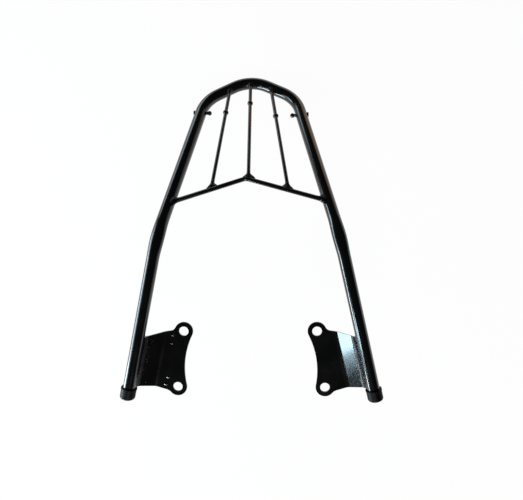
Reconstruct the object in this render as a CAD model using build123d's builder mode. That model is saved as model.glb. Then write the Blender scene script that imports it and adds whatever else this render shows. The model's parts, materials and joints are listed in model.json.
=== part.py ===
from build123d import *
import math
import os

os.makedirs("parts", exist_ok=True)

# Row frame: the plates lie level on Z = 0, +Y runs back to the luggage deck, +X to the right,
# and the origin is midway between the two rear bolt holes.

# Hoop tube
tube_od = 19.05
tube_wall = 1.5
arm_half_span = 168.75      # tube centre from the middle plane, abreast of the origin
arm_taper = 12.7            # each side leans in toward the rear by this angle
arm_front = 96.5            # cut end of the tube ahead of the origin
arm_bend_y = 150.0          # where the arms turn down into the deck
arm_bend_angle = 28.0
arm_bend_radius = 140.0
bend_width = 21.0           # the bend presses the round tube wider
bend_depth = 16.9           # and shallower at its middle
deck_corner = 254.0         # along the deck from that bend
deck_peak = 298.5
hoop_bend_radius = 58.0

# Mounting plates
plate_gauge = 2.5
plate_fold_radius = 14.0
plate_fold_angle = 34.0
plate_flank = 28.4          # straight strip from the fold up to the tube
plate_rear_edge = 4.5       # where the rear edge reaches the tube's centre line, ahead of the origin
plate_rear_root = 3.3       # and how far behind the bolt hole's centre it passes
plate_rear_fillet = 10.0
plate_front_edge = 79.6     # where the front edge reaches the tube's centre line
plate_front_root = 10.4     # and how far ahead of the bolt hole's centre it passes
plate_front_fillet = 14.0
ear_radius = 14.6
waist_radius = 130.0
bolt_hole_od = 15.0
rear_hole_span = 209.0
front_hole_span = 234.0
hole_pitch = 91.0

# Cross bar and deck rods
bar_od = 7.2
bar_end = 54.5              # along the deck, on the tube's centre line
bar_peak = 96.4
bar_peak_offset = -4.0
bar_bend_radius = 14.0
rod_od = 5.8
left_rod_foot = 57.0        # from the middle plane, on the cross bar
right_rod_foot = 61.4
rod_top_reach = 36.4        # along the hoop from its peak
deck_inset = 1.4            # the bar lies this far below the tube's top

# Cord hooks and the beads on the rods
left_hook_back = 1.6        # along the straight side from the hoop's corner bend
right_hook_back = 10.3
hook_stand = 5.4            # ball centre from the tube's side
hook_pin_od = 5.2
hook_ball_od = 7.6
hook_tail_od = 10.0
hook_tail_rise = 1.8
left_bead_along = 224.5
centre_bead_along = 242.6
right_bead_along = 215.0
bead_od = 9.4
bead_length = 7.0

# End caps
cap_wall = 2.2
cap_grip = 14.5
cap_end = 3.0
cap_lip = 0.5
cap_lip_length = 2.6
cap_round = 3.4

# Weld metal
seam_leg = 8.0              # plate to tube, upper side: reach along the sheet
seam_climb = 4.5            # and round the tube
seam_hollow = 0.25
under_seam_radius = 4.0
weld_lap = 0.15
weld_gap = 0.05             # clearance between weld metal and the tube
weld_throat = 0.6
bar_weld_toe = 8.6
bar_weld_run = 7.0
foot_weld_toe = 9.6
foot_weld_run = 9.0
top_weld_toe = 5.4
top_weld_run = 5.0

# Places worked out from those values
tube_r = tube_od / 2
taper = math.radians(arm_taper)
fold = math.radians(plate_fold_angle)
aim = tube_r + plate_flank
tube_z = plate_gauge / 2 + plate_fold_radius * (1 - math.cos(fold)) + aim * math.sin(fold)
fold_start = -(plate_fold_radius * math.sin(fold) + aim * math.cos(fold))


def arm_x(y):
    return arm_half_span - y * math.tan(taper)


def deck_x(along):
    return arm_x(arm_bend_y) - along * math.tan(taper)


fall = math.radians(arm_bend_angle)
deck = Plane(
    origin=(0, arm_bend_y, tube_z),
    x_dir=(1, 0, 0),
    z_dir=(0, math.sin(fall), math.cos(fall)),
)


def on_deck(x, along, up=0):
    return deck.from_local_coords(Vector(x, along, up))


def mirrored(p):
    return Vector(-p.X, p.Y, p.Z)


arm_end = Vector(arm_x(-arm_front), -arm_front, tube_z)
arm_run = Vector(-math.sin(taper), math.cos(taper), 0)
arm_out = Vector(math.cos(taper), math.sin(taper), 0)
arm_turn = Vector(arm_x(arm_bend_y), arm_bend_y, tube_z)
corner = on_deck(deck_x(deck_corner), deck_corner)

with BuildLine() as right_side:
    FilletPolyline(arm_end, arm_turn, corner, radius=arm_bend_radius)

bend_arc = right_side.edges().filter_by(GeomType.CIRCLE)[0]
bend_ends = bend_arc.vertices().sort_by(Axis.Y)
bend_front = Vector(*bend_ends[0].center())
bend_rear = Vector(*bend_ends[-1].center())
hoop_points = [bend_rear, corner, on_deck(0, deck_peak), mirrored(corner), mirrored(bend_rear)]

with BuildLine() as hoop_path:
    FilletPolyline(*hoop_points, radius=hoop_bend_radius)

hoop_wire = hoop_path.wire()
hoop_middle = hoop_wire.length / 2


def hoop_at(reach):
    return hoop_wire.position_at(hoop_middle + reach, position_mode=PositionMode.LENGTH)


def hoop_lay(reach):
    return hoop_wire.tangent_at(hoop_middle + reach, position_mode=PositionMode.LENGTH)


# The whole run of tube as a solid, shrunk by an inset
def tube_solid(inset):
    radius = tube_r - inset
    sections = []
    for share in (0, 0.25, 0.5, 0.75, 1):
        press = math.sin(math.pi * share) ** 2
        wide = radius + press * (bend_width / 2 - tube_r)
        deep = radius + press * (bend_depth / 2 - tube_r)
        across = Plane(
            origin=bend_arc.position_at(share),
            x_dir=arm_out,
            z_dir=bend_arc.tangent_at(share),
        )
        with BuildSketch(across) as section:
            if 0 < share < 1:
                Ellipse(wide, deep)
            else:
                Circle(radius)
        sections.append(section.sketch)
    with BuildPart() as side:
        with BuildSketch(Plane(origin=arm_end, x_dir=arm_out, z_dir=arm_run)):
            Circle(radius)
        extrude(amount=(bend_front - arm_end).length)
        sweep(sections=sections, path=bend_arc, multisection=True)
    with BuildPart() as run:
        with BuildSketch(Plane(origin=bend_rear, x_dir=arm_out, z_dir=corner - arm_turn)):
            Circle(radius)
        sweep(path=hoop_path.wire())
        add(side.part)
        mirror(side.part, about=Plane.YZ)
    return run


tube_body = tube_solid(0)
tube_bore = tube_solid(tube_wall)
tube_clear = tube_solid(-weld_gap)

# Cord hooks: a pin through both walls of the tube, a ball inside, a peened tail outside
side_cut = tube_r / math.cos(taper)
hook_pin_r = hook_pin_od / 2
hook_ball_r = hook_ball_od / 2
hook_neck = math.sqrt(hook_ball_r**2 - hook_pin_r**2)
straight_side = hoop_path.edges().filter_by(GeomType.LINE).sort_by(SortBy.LENGTH)[-1].length
left_hook_reach = hoop_middle - straight_side + left_hook_back
right_hook_reach = hoop_middle - straight_side + right_hook_back


def cord_hook(reach):
    centre = hoop_at(-reach)
    ball = centre - Vector(side_cut + hook_stand, 0, 0)
    pin_end = 2 * side_cut + hook_stand + hook_tail_rise / 2
    with BuildPart() as tail:
        with BuildSketch(Plane(origin=centre, z_dir=(1, 0, 0))):
            Circle(hook_tail_od / 2)
        extrude(amount=side_cut + hook_tail_rise)
        fillet(tail.faces().sort_by(Axis.X)[-1].edges(), radius=hook_tail_rise * 0.6)
        add(tube_body.part, mode=Mode.SUBTRACT)
    with BuildPart() as hook:
        with BuildSketch(Plane(origin=ball, x_dir=(1, 0, 0), z_dir=deck.z_dir)):
            with BuildLine():
                ThreePointArc((-hook_ball_r, 0), (0, hook_ball_r), (hook_neck, hook_pin_r))
                Polyline(
                    (hook_neck, hook_pin_r),
                    (pin_end, hook_pin_r),
                    (pin_end, 0),
                    (-hook_ball_r, 0),
                )
            make_face()
        revolve(axis=Axis(ball, (1, 0, 0)))
        add(tail.part)
    return hook


right_hook = cord_hook(right_hook_reach)
left_hook_twin = cord_hook(left_hook_reach)

with BuildPart() as left_hook:
    mirror(left_hook_twin.part, about=Plane.YZ)

with BuildPart() as hoop_tube:
    add(tube_body.part)
    add(tube_bore.part, mode=Mode.SUBTRACT)
    for reach in (-right_hook_reach, left_hook_reach):
        with BuildSketch(Plane(origin=hoop_at(reach), z_dir=(1, 0, 0))):
            Circle(hook_pin_r)
        extrude(amount=tube_od, both=True, mode=Mode.SUBTRACT)

# Mounting plates: a folded sheet trimmed to its outline, with its edge seated on the tube
rear_hole = Vector(rear_hole_span / 2, 0)
front_hole = Vector(front_hole_span / 2, -hole_pitch)
hole_line = front_hole - rear_hole
inward = Vector(hole_line.Y, -hole_line.X).normalized()
waist_offset = math.sqrt((waist_radius + ear_radius) ** 2 - (hole_line.length / 2) ** 2)
waist_centre = (rear_hole + front_hole) * 0.5 + inward * waist_offset
waist_rear = rear_hole + (waist_centre - rear_hole).normalized() * ear_radius
waist_front = front_hole + (waist_centre - front_hole).normalized() * ear_radius
waist_deep = waist_centre - inward * waist_radius
rear_root = rear_hole + Vector(0, plate_rear_root)
rear_end = Vector(arm_x(-plate_rear_edge), -plate_rear_edge)
front_root = front_hole - Vector(0, plate_front_root)
front_end = Vector(arm_x(-plate_front_edge), -plate_front_edge)


# Where an edge that runs from over a bolt hole out to the tube leaves the round of the ear
def ear_nook(hole, root, end):
    run = (end - root).normalized()
    back = (hole - root).dot(run)
    return root + run * (back + math.sqrt(back**2 - (hole - root).length ** 2 + ear_radius**2))


with BuildSketch() as plate_outline:
    with BuildLine():
        ThreePointArc(waist_rear, waist_deep, waist_front)
        Polyline(
            waist_front,
            front_hole,
            front_root,
            front_end,
            rear_end,
            rear_root,
            rear_hole,
            waist_rear,
        )
    make_face()
    with Locations(rear_hole, front_hole):
        Circle(ear_radius)
    rear_nook = ear_nook(rear_hole, rear_root, rear_end)
    fillet(plate_outline.vertices().sort_by_distance(rear_nook)[0], radius=plate_rear_fillet)
    front_nook = ear_nook(front_hole, front_root, front_end)
    fillet(plate_outline.vertices().sort_by_distance(front_nook)[0], radius=plate_front_fillet)
    with Locations(rear_hole, front_hole):
        Circle(bolt_hole_od / 2, mode=Mode.SUBTRACT)

# Section across the arm: first axis outward from the tube's centre, second axis up
across_arm = Plane(origin=(arm_half_span, 0, 0), x_dir=arm_out, z_dir=arm_out.cross(Vector(0, 0, 1)))
sheet_reach = arm_half_span + ear_radius
sheet_length = 2 * (hole_pitch + ear_radius)
fold_centre = Vector(fold_start, plate_gauge / 2 + plate_fold_radius)
inner_fold = plate_fold_radius - plate_gauge / 2
outer_fold = plate_fold_radius + plate_gauge / 2
under_side = Vector(math.sin(fold), -math.cos(fold)) * (plate_gauge / 2)
tube_centre = Vector(0, tube_z)

with BuildPart() as right_plate:
    with BuildSketch(across_arm):
        with BuildLine():
            lower = CenterArc(fold_centre, outer_fold, -90, plate_fold_angle)
            upper = CenterArc(fold_centre, inner_fold, -90, plate_fold_angle)
            Polyline(lower @ 0, (-sheet_reach, 0), (-sheet_reach, plate_gauge), upper @ 0)
            Polyline(lower @ 1, tube_centre + under_side, tube_centre - under_side, upper @ 1)
        make_face()
    extrude(amount=sheet_length, both=True)
    with BuildSketch():
        add(plate_outline.sketch)
    extrude(amount=tube_z + tube_od, mode=Mode.INTERSECT)
    add(tube_body.part, mode=Mode.SUBTRACT)

with BuildPart() as left_plate:
    mirror(right_plate.part, about=Plane.YZ)

# Weld along the seam: a hollow fillet on the sheet's upper side, a round bead under it
up_sheet = Vector(math.cos(fold), math.sin(fold))
seat = tube_centre - up_sheet * math.sqrt(tube_r**2 - (plate_gauge / 2) ** 2)
upper_corner = seat - under_side
sheet_toe = upper_corner - up_sheet * seam_leg
climb_angle = math.atan2(upper_corner.Y - tube_z, upper_corner.X) - seam_climb / tube_r
tube_toe = tube_centre + Vector(math.cos(climb_angle), math.sin(climb_angle)) * tube_r
seam_middle = (sheet_toe + tube_toe) * 0.5

with BuildPart() as right_plate_weld:
    with BuildSketch(across_arm):
        with BuildLine():
            ThreePointArc(sheet_toe, seam_middle + (upper_corner - seam_middle) * seam_hollow, tube_toe)
            Polyline(tube_toe, tube_centre, sheet_toe + under_side, sheet_toe)
        make_face()
        with Locations(seat + under_side):
            Circle(under_seam_radius)
    extrude(amount=sheet_length, both=True)
    with BuildSketch():
        add(plate_outline.sketch)
    extrude(amount=tube_z + tube_od, mode=Mode.INTERSECT)
    add(tube_clear.part, mode=Mode.SUBTRACT)
    add(right_plate.part, mode=Mode.SUBTRACT)

with BuildPart() as left_plate_weld:
    mirror(right_plate_weld.part, about=Plane.YZ)

# Rubber cap pushed over the tube's front end
cap_r = tube_r + cap_wall
cap_plane = Plane(origin=arm_end, x_dir=-arm_run, z_dir=(0, 0, 1))

with BuildPart() as right_cap:
    with BuildSketch(cap_plane):
        with BuildLine():
            Polyline(
                (0, 0),
                (cap_end, 0),
                (cap_end, cap_r),
                (cap_lip_length - cap_grip, cap_r),
                (cap_lip_length - cap_grip, cap_r + cap_lip),
                (-cap_grip, cap_r + cap_lip),
                (-cap_grip, tube_r),
                (0, tube_r),
                close=True,
            )
        make_face()
    revolve(axis=Axis(arm_end, arm_run))
    cap_rim = right_cap.edges().filter_by(GeomType.CIRCLE).sort_by(Axis(arm_end, -arm_run))[-1]
    fillet(cap_rim, radius=cap_round)
    lip_edges = right_cap.faces().filter_by(GeomType.CYLINDER).sort_by(lambda f: f.radius)[-1].edges()
    fillet(lip_edges.filter_by(GeomType.CIRCLE), radius=cap_lip * 0.6)

with BuildPart() as left_cap:
    mirror(right_cap.part, about=Plane.YZ)

# Cross bar, trimmed where it butts on the tube
deck_lift = tube_r - bar_od / 2 - deck_inset
left_bar_end = Vector(-deck_x(bar_end), bar_end)
right_bar_end = Vector(deck_x(bar_end), bar_end)
bar_top = Vector(bar_peak_offset, bar_peak)
bar_points = [on_deck(p.X, p.Y, deck_lift) for p in (left_bar_end, bar_top, right_bar_end)]

with BuildLine() as bar_path:
    FilletPolyline(*bar_points, radius=bar_bend_radius)

with BuildPart() as cross_bar:
    with BuildSketch(Plane(origin=bar_points[0], z_dir=bar_points[1] - bar_points[0])):
        Circle(bar_od / 2)
    sweep(path=bar_path.wire())
    add(tube_body.part, mode=Mode.SUBTRACT)


def bar_along(x):
    end = right_bar_end if x > bar_top.X else left_bar_end
    return bar_top.Y + (end.Y - bar_top.Y) * (x - bar_top.X) / (end.X - bar_top.X)


def rod_foot(x):
    return on_deck(x, bar_along(x), deck_lift)


def rod_top(reach):
    return hoop_at(reach) + deck.z_dir * deck_lift


left_foot = rod_foot(-left_rod_foot)
centre_foot = rod_foot(0)
right_foot = rod_foot(right_rod_foot)
left_top = rod_top(rod_top_reach)
centre_top = rod_top(0)
right_top = rod_top(-rod_top_reach)


# Deck rods, each trimmed where it butts on the cross bar and on the hoop
def deck_rod(foot, top):
    with BuildPart() as rod:
        with BuildSketch(Plane(origin=foot, z_dir=top - foot)):
            Circle(rod_od / 2)
        extrude(amount=(top - foot).length)
        add(tube_body.part, mode=Mode.SUBTRACT)
        add(cross_bar.part, mode=Mode.SUBTRACT)
    return rod


left_rod = deck_rod(left_foot, left_top)
centre_rod = deck_rod(centre_foot, centre_top)
right_rod = deck_rod(right_foot, right_top)


# Beads on the rods that keep a cord from sliding
def cord_bead(along, foot, top):
    low = deck.to_local_coords(foot)
    high = deck.to_local_coords(top)
    middle = foot + (top - foot) * ((along - low.Y) / (high.Y - low.Y))
    run = (top - foot).normalized()
    half = bead_length / 2
    with BuildPart() as bead:
        with BuildSketch(Plane(origin=middle, x_dir=run, z_dir=deck.z_dir)):
            with BuildLine():
                ThreePointArc((-half, rod_od / 2), (0, bead_od / 2), (half, rod_od / 2))
                Line((half, rod_od / 2), (-half, rod_od / 2))
            make_face()
        revolve(axis=Axis(middle, run))
    return bead


left_bead = cord_bead(left_bead_along, left_foot, left_top)
centre_bead = cord_bead(centre_bead_along, centre_foot, centre_top)
right_bead = cord_bead(right_bead_along, right_foot, right_top)


# Weld metal that flares from a round stem onto the round piece it butts on, which runs along lay
def flare(root, tip, lay, start, surface, run, toe, thick, stem_r, cutters):
    axis = (tip - root).normalized()
    seat = lay.cross(deck.z_dir).normalized()
    if seat.dot(axis) < 0:
        seat = seat * -1
    slope = seat.dot(axis)
    stem_deep = stem_r + weld_lap
    stem_wide = stem_deep / slope
    rings = [
        (start, toe * 1.15, thick),
        (surface, toe, thick),
        (surface + 0.4 * run, stem_wide + 0.35 * (toe - stem_wide), stem_deep + 0.5 * (thick - stem_deep)),
        (surface + run, stem_wide, stem_deep),
    ]
    with BuildPart() as metal:
        for away, wide, deep in rings:
            with BuildSketch(Plane(origin=root + axis * (away / slope), x_dir=lay, z_dir=seat)):
                Ellipse(wide, deep)
        loft()
        for cutter in cutters:
            add(cutter.part, mode=Mode.SUBTRACT)
    return metal


bar_r = bar_od / 2
rod_r = rod_od / 2
tube_face = math.sqrt(tube_r**2 - deck_lift**2)
bar_fillet = (tube_r * 0.3, tube_face, bar_weld_run, bar_weld_toe, bar_r + weld_throat, bar_r)
foot_fillet = (0, bar_r, foot_weld_run, foot_weld_toe, bar_r * 0.95, rod_r)
top_fillet = (tube_r * 0.4, tube_face, top_weld_run, top_weld_toe, rod_r + weld_throat, rod_r)
right_run = (corner - arm_turn).normalized()
left_run = mirrored(right_run)
left_bar_lay = (bar_points[0] - bar_points[1]).normalized()
right_bar_lay = (bar_points[2] - bar_points[1]).normalized()
left_hoop_lay = hoop_lay(rod_top_reach)
right_hoop_lay = hoop_lay(-rod_top_reach)
middle_lay = Vector(1, 0, 0)

left_bar_weld = flare(bar_points[0], bar_points[1], left_run, *bar_fillet, [tube_clear, cross_bar])
right_bar_weld = flare(bar_points[2], bar_points[1], right_run, *bar_fillet, [tube_clear, cross_bar])
left_foot_weld = flare(left_foot, left_top, left_bar_lay, *foot_fillet, [cross_bar, left_rod])
centre_foot_weld = flare(centre_foot, centre_top, middle_lay, *foot_fillet, [cross_bar, centre_rod])
right_foot_weld = flare(right_foot, right_top, right_bar_lay, *foot_fillet, [cross_bar, right_rod])
left_top_weld = flare(left_top, left_foot, left_hoop_lay, *top_fillet, [tube_clear, left_rod])
centre_top_weld = flare(centre_top, centre_foot, middle_lay, *top_fillet, [tube_clear, centre_rod])
right_top_weld = flare(right_top, right_foot, right_hoop_lay, *top_fillet, [tube_clear, right_rod])

hoop_tube.part.label = "hoop_tube"
export_step(hoop_tube.part, "parts/hoop_tube.step")

left_plate.part.label = "left_plate"
export_step(left_plate.part, "parts/left_plate.step")

right_plate.part.label = "right_plate"
export_step(right_plate.part, "parts/right_plate.step")

cross_bar.part.label = "cross_bar"
export_step(cross_bar.part, "parts/cross_bar.step")

left_rod.part.label = "left_rod"
export_step(left_rod.part, "parts/left_rod.step")

centre_rod.part.label = "centre_rod"
export_step(centre_rod.part, "parts/centre_rod.step")

right_rod.part.label = "right_rod"
export_step(right_rod.part, "parts/right_rod.step")

left_hook.part.label = "left_hook"
export_step(left_hook.part, "parts/left_hook.step")

right_hook.part.label = "right_hook"
export_step(right_hook.part, "parts/right_hook.step")

left_bead.part.label = "left_bead"
export_step(left_bead.part, "parts/left_bead.step")

centre_bead.part.label = "centre_bead"
export_step(centre_bead.part, "parts/centre_bead.step")

right_bead.part.label = "right_bead"
export_step(right_bead.part, "parts/right_bead.step")

left_cap.part.label = "left_cap"
export_step(left_cap.part, "parts/left_cap.step")

right_cap.part.label = "right_cap"
export_step(right_cap.part, "parts/right_cap.step")

left_plate_weld.part.label = "left_plate_weld"
export_step(left_plate_weld.part, "parts/left_plate_weld.step")

right_plate_weld.part.label = "right_plate_weld"
export_step(right_plate_weld.part, "parts/right_plate_weld.step")

left_bar_weld.part.label = "left_bar_weld"
export_step(left_bar_weld.part, "parts/left_bar_weld.step")

right_bar_weld.part.label = "right_bar_weld"
export_step(right_bar_weld.part, "parts/right_bar_weld.step")

left_foot_weld.part.label = "left_foot_weld"
export_step(left_foot_weld.part, "parts/left_foot_weld.step")

centre_foot_weld.part.label = "centre_foot_weld"
export_step(centre_foot_weld.part, "parts/centre_foot_weld.step")

right_foot_weld.part.label = "right_foot_weld"
export_step(right_foot_weld.part, "parts/right_foot_weld.step")

left_top_weld.part.label = "left_top_weld"
export_step(left_top_weld.part, "parts/left_top_weld.step")

centre_top_weld.part.label = "centre_top_weld"
export_step(centre_top_weld.part, "parts/centre_top_weld.step")

right_top_weld.part.label = "right_top_weld"
export_step(right_top_weld.part, "parts/right_top_weld.step")
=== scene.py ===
import json
import math
import random

import bmesh
import bpy
from mathutils import Matrix, Vector, noise
from mathutils.bvhtree import BVHTree


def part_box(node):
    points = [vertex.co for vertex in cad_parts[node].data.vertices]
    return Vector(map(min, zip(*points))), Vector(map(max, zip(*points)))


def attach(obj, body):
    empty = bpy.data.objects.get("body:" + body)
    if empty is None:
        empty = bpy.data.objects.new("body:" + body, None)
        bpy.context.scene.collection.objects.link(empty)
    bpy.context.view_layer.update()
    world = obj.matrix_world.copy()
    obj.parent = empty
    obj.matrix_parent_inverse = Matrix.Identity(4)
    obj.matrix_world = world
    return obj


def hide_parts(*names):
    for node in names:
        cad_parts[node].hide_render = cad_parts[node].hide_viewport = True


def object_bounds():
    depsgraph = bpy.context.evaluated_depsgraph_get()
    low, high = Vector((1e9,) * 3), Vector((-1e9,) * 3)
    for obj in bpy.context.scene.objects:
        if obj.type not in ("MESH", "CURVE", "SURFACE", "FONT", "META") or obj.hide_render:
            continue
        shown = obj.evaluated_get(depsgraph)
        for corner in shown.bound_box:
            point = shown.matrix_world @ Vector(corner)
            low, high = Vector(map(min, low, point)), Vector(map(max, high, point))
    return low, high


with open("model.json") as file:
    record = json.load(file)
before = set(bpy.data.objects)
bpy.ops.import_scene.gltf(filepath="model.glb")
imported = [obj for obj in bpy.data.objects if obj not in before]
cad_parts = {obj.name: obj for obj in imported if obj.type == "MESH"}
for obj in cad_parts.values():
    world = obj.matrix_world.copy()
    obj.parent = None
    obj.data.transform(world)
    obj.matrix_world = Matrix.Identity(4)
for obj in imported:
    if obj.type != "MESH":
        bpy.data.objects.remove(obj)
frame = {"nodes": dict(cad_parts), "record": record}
cad_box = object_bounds()
scene = bpy.context.scene
nodes = frame["nodes"]

# Enamel, with sizes and depths in metres; each span is the part of a noise's range that is spread out
cloud_size = 0.035
dust_span = (0.45, 0.75)
satin_span = (0.3, 0.7)
streak_width = 0.0016
streak_stretch = 14.0
streak_span = (0.62, 0.8)
streak_roughness = 0.06
wave_size = 0.030
peel_size = 0.0024
peel_depth = 0.0000015
nib_spacing = 0.014
nib_share = 0.022
nib_depth = 0.00003
coat_roughness = 0.06

# Rubber, with sizes and depths in metres
rubber_dark = (0.0012, 0.0012, 0.0013)
rubber_bloom = (0.0060, 0.0060, 0.0066)
rubber_gloss = 0.34
rubber_matte = 0.58
rubber_reflection = 0.09
bloom_size = 0.0040
bloom_colour_span = (0.42, 0.72)
bloom_matte_span = (0.3, 0.7)
grain_size = 0.0009
grain_depth = 0.00005

# Weld detail, in metres
ripple_pitch = 0.0031
ripple_height = 0.00042
ripple_bow = 0.0014
lump_size = 0.0045
lump_height = 0.00030
toe_blend = 0.0009
seam_edge = 0.0007
flare_edge = 0.0006
touching = 0.000001

# Weld detail, as counts, shares and an angle in degrees
cut_rounds = 3
fewest_ripples = 6
lump_shift = 0.35
plain_share = 0.75
lump_share = 0.5
crease_angle = 60.0

# Weld droplets on the plates, in metres
droplet_sink = 0.0003
spatter_spread = 0.0055
spatter_radius = (0.00045, 0.0010)
mark_radius = 0.0026
mark_height = 0.0011
rear_hole_x = 0.1045
front_hole_x = 0.1170
hole_pitch = 0.0910
above_plates = 0.1

# Weld droplets, as counts and a share
droplet_rings = 7
droplet_corners = 18
spatter_count = 16
spatter_aspect = 0.42
spatter_seed = 11

# Left plate's four larger droplets, from the middle of the hole that each is near
rear_marks = [(-0.0181, -0.0061), (-0.0202, -0.0191)]
front_marks = [(-0.0158, 0.0158), (-0.0199, 0.0041)]

# Floor and world
paper_colour = (0.85, 0.85, 0.85, 1.0)
glow_share = 0.97
floor_reach = 8.0
horizon_rise = (0.0, 0.17)
horizon_light = 0.85
ceiling_light = 0.03

# Camera fitted to the photograph, in pixels, metres and degrees
photo_width = 523.0
focal_pixels = 404.18
camera_place = (0.04605, 0.19443, 0.61578)
camera_turn = (-6.209, 2.447, -0.464)


# Shader helpers
def material(name):
    made = bpy.data.materials.new(name)
    made.use_nodes = True
    tree = made.node_tree
    tree.nodes.clear()
    output = tree.nodes.new("ShaderNodeOutputMaterial")
    shader = tree.nodes.new("ShaderNodeBsdfPrincipled")
    tree.links.new(shader.outputs[0], output.inputs[0])
    place = tree.nodes.new("ShaderNodeTexCoord").outputs["Object"]
    return made, tree, shader, place


def noise_field(tree, place, size, detail=3.0, roughness=0.55, stretch=None):
    """Noise whose blotches are about that size in metres, drawn out along Y where stretch is given."""
    field = tree.nodes.new("ShaderNodeTexNoise")
    field.inputs["Scale"].default_value = 1.0 / size
    field.inputs["Detail"].default_value = detail
    field.inputs["Roughness"].default_value = roughness
    if stretch:
        mapping = tree.nodes.new("ShaderNodeMapping")
        mapping.inputs["Scale"].default_value = (1.0, 1.0 / stretch, 1.0)
        tree.links.new(place, mapping.inputs["Vector"])
        place = mapping.outputs["Vector"]
    tree.links.new(place, field.inputs["Vector"])
    return field.outputs["Fac"]


def specks(tree, place, spacing, share):
    """Round specks scattered about: 1 in the middle of each, falling to 0 at that share of the spacing."""
    cells = tree.nodes.new("ShaderNodeTexVoronoi")
    cells.inputs["Scale"].default_value = 1.0 / spacing
    tree.links.new(place, cells.inputs["Vector"])
    return remap(tree, cells.outputs["Distance"], share, 0.0)


def remap(tree, value, low, high, to_low=0.0, to_high=1.0):
    step = tree.nodes.new("ShaderNodeMapRange")
    step.inputs["From Min"].default_value = low
    step.inputs["From Max"].default_value = high
    step.inputs["To Min"].default_value = to_low
    step.inputs["To Max"].default_value = to_high
    tree.links.new(value, step.inputs["Value"])
    return step.outputs["Result"]


def blend_colours(tree, factor, first, second):
    mix = tree.nodes.new("ShaderNodeMix")
    mix.data_type = "RGBA"
    mix.inputs["A"].default_value = (*first, 1.0)
    mix.inputs["B"].default_value = (*second, 1.0)
    tree.links.new(factor, mix.inputs["Factor"])
    return mix.outputs["Result"]


def add_bump(tree, height, depth, before=None):
    """A bump of that depth in metres on top of the one before it."""
    bump = tree.nodes.new("ShaderNodeBump")
    bump.inputs["Strength"].default_value = 1.0
    bump.inputs["Distance"].default_value = depth
    tree.links.new(height, bump.inputs["Height"])
    if before:
        tree.links.new(before, bump.inputs["Normal"])
    return bump.outputs["Normal"]


# Materials
def enamel(name, dark, dusty, gloss, satin, waviness, coat, reflection):
    """Gloss black paint: slight waves, peel, dust nibs, cloudy gloss and faint rubbed streaks."""
    made, tree, shader, place = material(name)
    shader.inputs["Coat Weight"].default_value = coat
    shader.inputs["Specular IOR Level"].default_value = reflection
    shader.inputs["Coat Roughness"].default_value = coat_roughness
    cloud = noise_field(tree, place, cloud_size)
    colour = blend_colours(tree, remap(tree, cloud, *dust_span), dark, dusty)
    tree.links.new(colour, shader.inputs["Base Color"])
    streaks = noise_field(tree, place, streak_width, detail=2.0, roughness=0.6, stretch=streak_stretch)
    rubbed = tree.nodes.new("ShaderNodeMath")
    rubbed.operation = "ADD"
    tree.links.new(remap(tree, cloud, *satin_span, gloss, satin), rubbed.inputs[0])
    tree.links.new(remap(tree, streaks, *streak_span, 0.0, streak_roughness), rubbed.inputs[1])
    tree.links.new(rubbed.outputs[0], shader.inputs["Roughness"])
    normal = add_bump(tree, noise_field(tree, place, wave_size, detail=1.0), waviness)
    normal = add_bump(tree, noise_field(tree, place, peel_size, detail=1.0), peel_depth, normal)
    normal = add_bump(tree, specks(tree, place, nib_spacing, nib_share), nib_depth, normal)
    tree.links.new(normal, shader.inputs["Normal"])
    return made


def rubber(name):
    """Moulded black rubber, mottled with grey bloom where it has been handled."""
    made, tree, shader, place = material(name)
    bloom = noise_field(tree, place, bloom_size, detail=4.0, roughness=0.65)
    colour = blend_colours(tree, remap(tree, bloom, *bloom_colour_span), rubber_dark, rubber_bloom)
    tree.links.new(colour, shader.inputs["Base Color"])
    matte = remap(tree, bloom, *bloom_matte_span, rubber_gloss, rubber_matte)
    tree.links.new(matte, shader.inputs["Roughness"])
    shader.inputs["Specular IOR Level"].default_value = rubber_reflection
    normal = add_bump(tree, noise_field(tree, place, grain_size), grain_depth)
    tree.links.new(normal, shader.inputs["Normal"])
    return made


paint = enamel(
    "black_enamel",
    dark=(0.0016, 0.0016, 0.0018),
    dusty=(0.0026, 0.0025, 0.0024),
    gloss=0.13,
    satin=0.21,
    waviness=0.00010,
    coat=0.25,
    reflection=0.5,
)
weld_paint = enamel(
    "enamelled_weld",
    dark=(0.0018, 0.0018, 0.0020),
    dusty=(0.0036, 0.0034, 0.0032),
    gloss=0.18,
    satin=0.30,
    waviness=0.00004,
    coat=0.0,
    reflection=0.22,
)
cap_rubber = rubber("black_rubber")
finishes = {"black_enamel": paint, "enamelled_weld": weld_paint, "black_rubber": cap_rubber}
for row in frame["record"]["subparts"]:
    slots = nodes[row["node"]].data.materials
    slots.clear()
    slots.append(finishes[row["material_slot"]])


# Mesh helpers
def middle_of(node):
    low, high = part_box(node)
    return (low + high) / 2


def surface(node):
    mesh = nodes[node].data
    return BVHTree.FromPolygons([v.co for v in mesh.vertices], [p.vertices for p in mesh.polygons])


def long_direction(node):
    """Direction of the node's longest edge, which for a seam is the way it runs."""
    mesh = nodes[node].data
    spans = [mesh.vertices[e.vertices[1]].co - mesh.vertices[e.vertices[0]].co for e in mesh.edges]
    return max(spans, key=lambda span: span.length).normalized()


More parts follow.
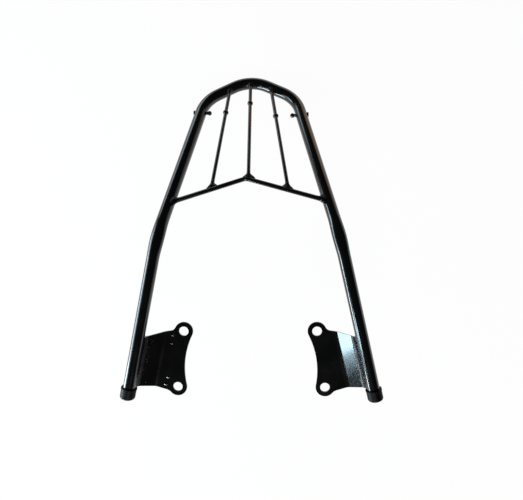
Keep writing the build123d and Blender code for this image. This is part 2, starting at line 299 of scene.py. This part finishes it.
def fine_copy(node, longest, slice_along=None):
    """The node's mesh with its corners joined, sliced along a direction, and long edges cut a few times."""
    work = bmesh.new()
    work.from_mesh(nodes[node].data)
    bmesh.ops.remove_doubles(work, verts=work.verts, dist=touching)
    if slice_along:
        reach = [v.co.dot(slice_along) for v in work.verts]
        cuts = int((max(reach) - min(reach)) / longest)
        for cut in range(1, cuts):
            place = slice_along * (min(reach) + cut * longest)
            parts = work.verts[:] + work.edges[:] + work.faces[:]
            bmesh.ops.bisect_plane(work, geom=parts, plane_co=place, plane_no=slice_along)
    for _ in range(cut_rounds):
        long_edges = [e for e in work.edges if e.calc_length() > longest]
        bmesh.ops.subdivide_edges(work, edges=long_edges, cuts=1)
        bmesh.ops.triangulate(work, faces=[f for f in work.faces if len(f.verts) > 3])
    return work


def add_piece(name, work, slot):
    """A mesh piece made from work, smooth but for its sharp corners, riding on the rack."""
    work.normal_update()
    work.verts.index_update()
    mesh = bpy.data.meshes.new(name)
    mesh.from_pydata([v.co for v in work.verts], [], [[v.index for v in f.verts] for f in work.faces])
    work.free()
    mesh.shade_smooth()
    mesh.set_sharp_from_angle(angle=math.radians(crease_angle))
    mesh.materials.append(finishes[slot])
    piece = bpy.data.objects.new(name, mesh)
    scene.collection.objects.link(piece)
    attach(piece, "root")
    return piece


# Weld metal with the ripples that the torch leaves
def ripple_crest(turns):
    """Round crests with sharp valleys, about 0 on average."""
    return abs(math.sin(math.pi * turns)) - 2.0 / math.pi


def ease(share):
    """From 0 to 1 as share does, level at both ends."""
    return share * share * (3.0 - 2.0 * share)


def rippled(node, first, second, longest, turns_at, slice_along=None):
    """The weld at node between two pieces, raised in ripples away from where it meets them."""
    first_skin = surface(first)
    second_skin = surface(second)
    work = fine_copy(node, longest, slice_along)
    work.normal_update()
    moved = []
    for v in work.verts:
        first_gap = first_skin.find_nearest(v.co)[3]
        second_gap = second_skin.find_nearest(v.co)[3]
        cover = min(1.0, min(first_gap, second_gap) / toe_blend)
        lean = (first_gap - second_gap) / max(first_gap + second_gap, touching)
        lump = noise.noise(v.co / lump_size)
        turns = turns_at(v.co, lean) + lump_shift * lump
        crest = ripple_height * ripple_crest(turns) * (plain_share + lump_share * lump)
        moved.append(v.co + v.normal * (crest + lump_height * lump) * ease(cover))
    for v, place in zip(work.verts, moved):
        v.co = place
    piece = add_piece(node + "_ripples", work, "enamelled_weld")
    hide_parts(node)


def seam_weld(side):
    """The seam along a plate: ripples bowed across the run of the seam."""
    node = side + "_plate_weld"
    along = long_direction(node)

    def turns_at(place, lean):
        return (place.dot(along) + ripple_bow * lean * lean) / ripple_pitch

    rippled(node, "hoop_tube", side + "_plate", seam_edge, turns_at, along)


def collar_weld(node, carrier, stem, stem_end):
    """A weld round the end of a rod: ripples that run round it."""
    low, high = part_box(node)
    middle = (low + high) / 2
    axis = (Vector(stem_end) - middle).normalized()
    across = axis.orthogonal().normalized()
    beside = axis.cross(across)
    count = max(fewest_ripples, round(math.pi * (high - low).length / 2 / ripple_pitch))

    def turns_at(place, lean):
        out = place - middle
        return count * math.atan2(out.dot(beside), out.dot(across)) / (2 * math.pi)

    rippled(node, carrier, stem, flare_edge, turns_at)


for side in ("left", "right"):
    seam_weld(side)
    collar_weld(side + "_bar_weld", "hoop_tube", "cross_bar", middle_of("cross_bar"))
for place in ("left", "centre", "right"):
    rod_middle = middle_of(place + "_rod")
    collar_weld(place + "_foot_weld", "cross_bar", place + "_rod", rod_middle)
    collar_weld(place + "_top_weld", "hoop_tube", place + "_rod", rod_middle)


# Droplets of weld metal that stuck to the plates, under the paint
def droplet(work, plate, x, y, radius, height):
    """A low bell-shaped drop on the plate's upper side, closed below the surface."""
    above = Vector((x, y, above_plates))
    hit, place, normal, _ = nodes[plate].ray_cast(above, Vector((0.0, 0.0, -1.0)))
    if not hit:
        return
    turn = normal.to_track_quat("Z", "Y").to_matrix()
    levels = [(radius, -droplet_sink)]
    for step in range(droplet_rings):
        share = 1.0 - step / droplet_rings
        levels.append((radius * share, height * (1.0 - share * share) ** 2))
    loops = []
    for reach, level in levels:
        ring = []
        for corner in range(droplet_corners):
            angle = 2 * math.pi * corner / droplet_corners
            out = Vector((reach * math.cos(angle), reach * math.sin(angle), level))
            ring.append(work.verts.new(place + turn @ out))
        loops.append(ring)
    top = work.verts.new(place + turn @ Vector((0.0, 0.0, height)))
    work.faces.new(list(reversed(loops[0])))
    for lower, upper in zip(loops, loops[1:]):
        for corner in range(droplet_corners):
            after = (corner + 1) % droplet_corners
            work.faces.new((lower[corner], lower[after], upper[after], upper[corner]))
    for corner in range(droplet_corners):
        work.faces.new((loops[-1][corner], loops[-1][(corner + 1) % droplet_corners], top))


def spatter(work, side, draw):
    """Small droplets beside the toe of the plate's seam."""
    along = long_direction(side + "_plate_weld")
    along = Vector((along.x, along.y, 0.0)).normalized()
    inward = Vector((along.y, -along.x, 0.0))
    if inward.dot(middle_of(side + "_plate")) > inward.dot(middle_of("hoop_tube")):
        inward.negate()
    spots = [v.co for v in nodes[side + "_plate_weld"].data.vertices]
    toe = max(spot.dot(inward) for spot in spots)
    start = min(spot.dot(along) for spot in spots)
    end = max(spot.dot(along) for spot in spots)
    for _ in range(spatter_count):
        run = draw.uniform(start + spatter_spread, end - spatter_spread)
        out = toe + spatter_spread * draw.random() ** 2
        spot = along * run + inward * out
        radius = draw.uniform(*spatter_radius)
        droplet(work, side + "_plate", spot.x, spot.y, radius, radius * spatter_aspect)


draw = random.Random(spatter_seed)
for side in ("left", "right"):
    work = bmesh.new()
    spatter(work, side, draw)
    if side == "left":
        for x, y in rear_marks:
            droplet(work, "left_plate", x - rear_hole_x, y, mark_radius, mark_height)
        for x, y in front_marks:
            droplet(work, "left_plate", x - front_hole_x, y - hole_pitch, mark_radius, mark_height)
    add_piece(side + "_plate_droplets", work, "black_enamel")


# Floor: white to the camera and in reflections, with a faint shadow
def background_rays(tree):
    """1 for camera, glossy and transmission rays, 0 for the rest."""
    path = tree.nodes.new("ShaderNodeLightPath")
    total = path.outputs["Is Camera Ray"]
    for ray in ("Is Glossy Ray", "Is Transmission Ray"):
        join = tree.nodes.new("ShaderNodeMath")
        join.operation = "MAXIMUM"
        tree.links.new(total, join.inputs[0])
        tree.links.new(path.outputs[ray], join.inputs[1])
        total = join.outputs[0]
    return total


def floor_material():
    made = bpy.data.materials.new("floor")
    made.use_nodes = True
    tree = made.node_tree
    tree.nodes.clear()
    output = tree.nodes.new("ShaderNodeOutputMaterial")
    paper = tree.nodes.new("ShaderNodeBsdfDiffuse")
    paper.inputs["Color"].default_value = paper_colour
    glow = tree.nodes.new("ShaderNodeEmission")
    glow.inputs["Strength"].default_value = 1.0
    share = remap(tree, background_rays(tree), 0.0, 1.0, 0.0, glow_share)
    mix = tree.nodes.new("ShaderNodeMixShader")
    tree.links.new(share, mix.inputs[0])
    tree.links.new(paper.outputs[0], mix.inputs[1])
    tree.links.new(glow.outputs[0], mix.inputs[2])
    tree.links.new(mix.outputs[0], output.inputs[0])
    return made


floor_level = cad_box[0].z
floor_ends = ((-1, -1), (1, -1), (1, 1), (-1, 1))
floor_corners = [(x * floor_reach, y * floor_reach, floor_level) for x, y in floor_ends]
floor_mesh = bpy.data.meshes.new("floor")
floor_mesh.from_pydata(floor_corners, [], [(0, 1, 2, 3)])
floor_mesh.materials.append(floor_material())
floor = bpy.data.objects.new("floor", floor_mesh)
scene.collection.objects.link(floor)

# World: a pale horizon round a dark ceiling
world = bpy.data.worlds.new("studio")
scene.world = world
world.use_nodes = True
tree = world.node_tree
heading = tree.nodes.new("ShaderNodeTexCoord").outputs["Generated"]
parts = tree.nodes.new("ShaderNodeSeparateXYZ")
tree.links.new(heading, parts.inputs[0])
brightness = remap(tree, parts.outputs["Z"], *horizon_rise, horizon_light, ceiling_light)
tree.links.new(brightness, tree.nodes["Background"].inputs["Strength"])
tree.nodes["Background"].inputs["Color"].default_value = (1, 1, 1, 1)


# Lamps
def panel(name, place, target, width, height, radiance, colour):
    """A soft panel of that brightness, in radiance, facing target and not seen by the camera."""
    light = bpy.data.lights.new(name, "AREA")
    light.shape = "RECTANGLE"
    light.size = width
    light.size_y = height
    light.energy = math.pi * width * height * radiance
    light.color = colour
    lamp = bpy.data.objects.new(name, light)
    lamp.location = place
    lamp.rotation_mode = "QUATERNION"
    lamp.rotation_quaternion = (Vector(target) - Vector(place)).to_track_quat("-Z", "Y")
    lamp.visible_camera = False
    scene.collection.objects.link(lamp)


# The bright band on the right plate
panel("high_window", place=(-1.225, -0.957, 0.78), target=(0.157, 0.0, 0.0),
      width=0.17, height=0.48, radiance=33.0, colour=(0.62, 0.87, 1.0))

# Lines along the left flanks of the arms, broad on the left one and narrow on the right one
panel("low_window", place=(-1.25, -0.20, 0.12), target=(0.0, -0.20, 0.12),
      width=1.6, height=0.30, radiance=9.0, colour=(0.66, 0.86, 1.0))
panel("side_window", place=(-0.62, 0.10, 0.15), target=(0.0, 0.10, 0.05),
      width=0.7, height=0.30, radiance=4.0, colour=(0.72, 0.86, 1.0))

# Glints inside the hoop, right of its peak, and a brighter line along the right arm
panel("corner_window", place=(-1.2, -0.53, 0.10), target=(0.075, 0.10, -0.05),
      width=0.56, height=0.20, radiance=23.0, colour=(0.80, 0.93, 1.0))
panel("front_window", place=(-1.2, -1.40, 0.08), target=(0.05, 0.4, -0.10),
      width=0.5, height=0.26, radiance=34.0, colour=(0.85, 0.95, 1.0))

# Cool and brown edges on the hoop's outer sides
panel("rear_window", place=(-0.75, 1.25, 0.08), target=(0.0, 0.3, -0.05),
      width=0.9, height=0.34, radiance=3.2, colour=(0.70, 0.88, 1.0))
panel("warm_wall", place=(0.58, 1.2, 0.05), target=(0.05, 0.3, -0.05),
      width=0.6, height=0.3, radiance=1.4, colour=(1.0, 0.45, 0.11))

# General light from the front
panel("fill", place=(0.0, -1.7, 1.35), target=(0.0, 0.1, 0.0),
      width=0.7, height=0.6, radiance=20.0, colour=(1.0, 0.98, 0.96))

# Camera
camera_data = bpy.data.cameras.new("camera")
camera_data.sensor_width = 36.0
camera_data.lens = camera_data.sensor_width * focal_pixels / photo_width
camera_data.clip_start = 0.01
camera_data.clip_end = 50.0
camera = bpy.data.objects.new("camera", camera_data)
turn = Matrix.Identity(4)
for angle, axis in zip(camera_turn, "XYZ"):
    turn = turn @ Matrix.Rotation(math.radians(angle), 4, axis)
camera.matrix_world = Matrix.Translation(camera_place) @ turn
scene.collection.objects.link(camera)
scene.camera = camera
scene.view_settings.view_transform = "Standard"
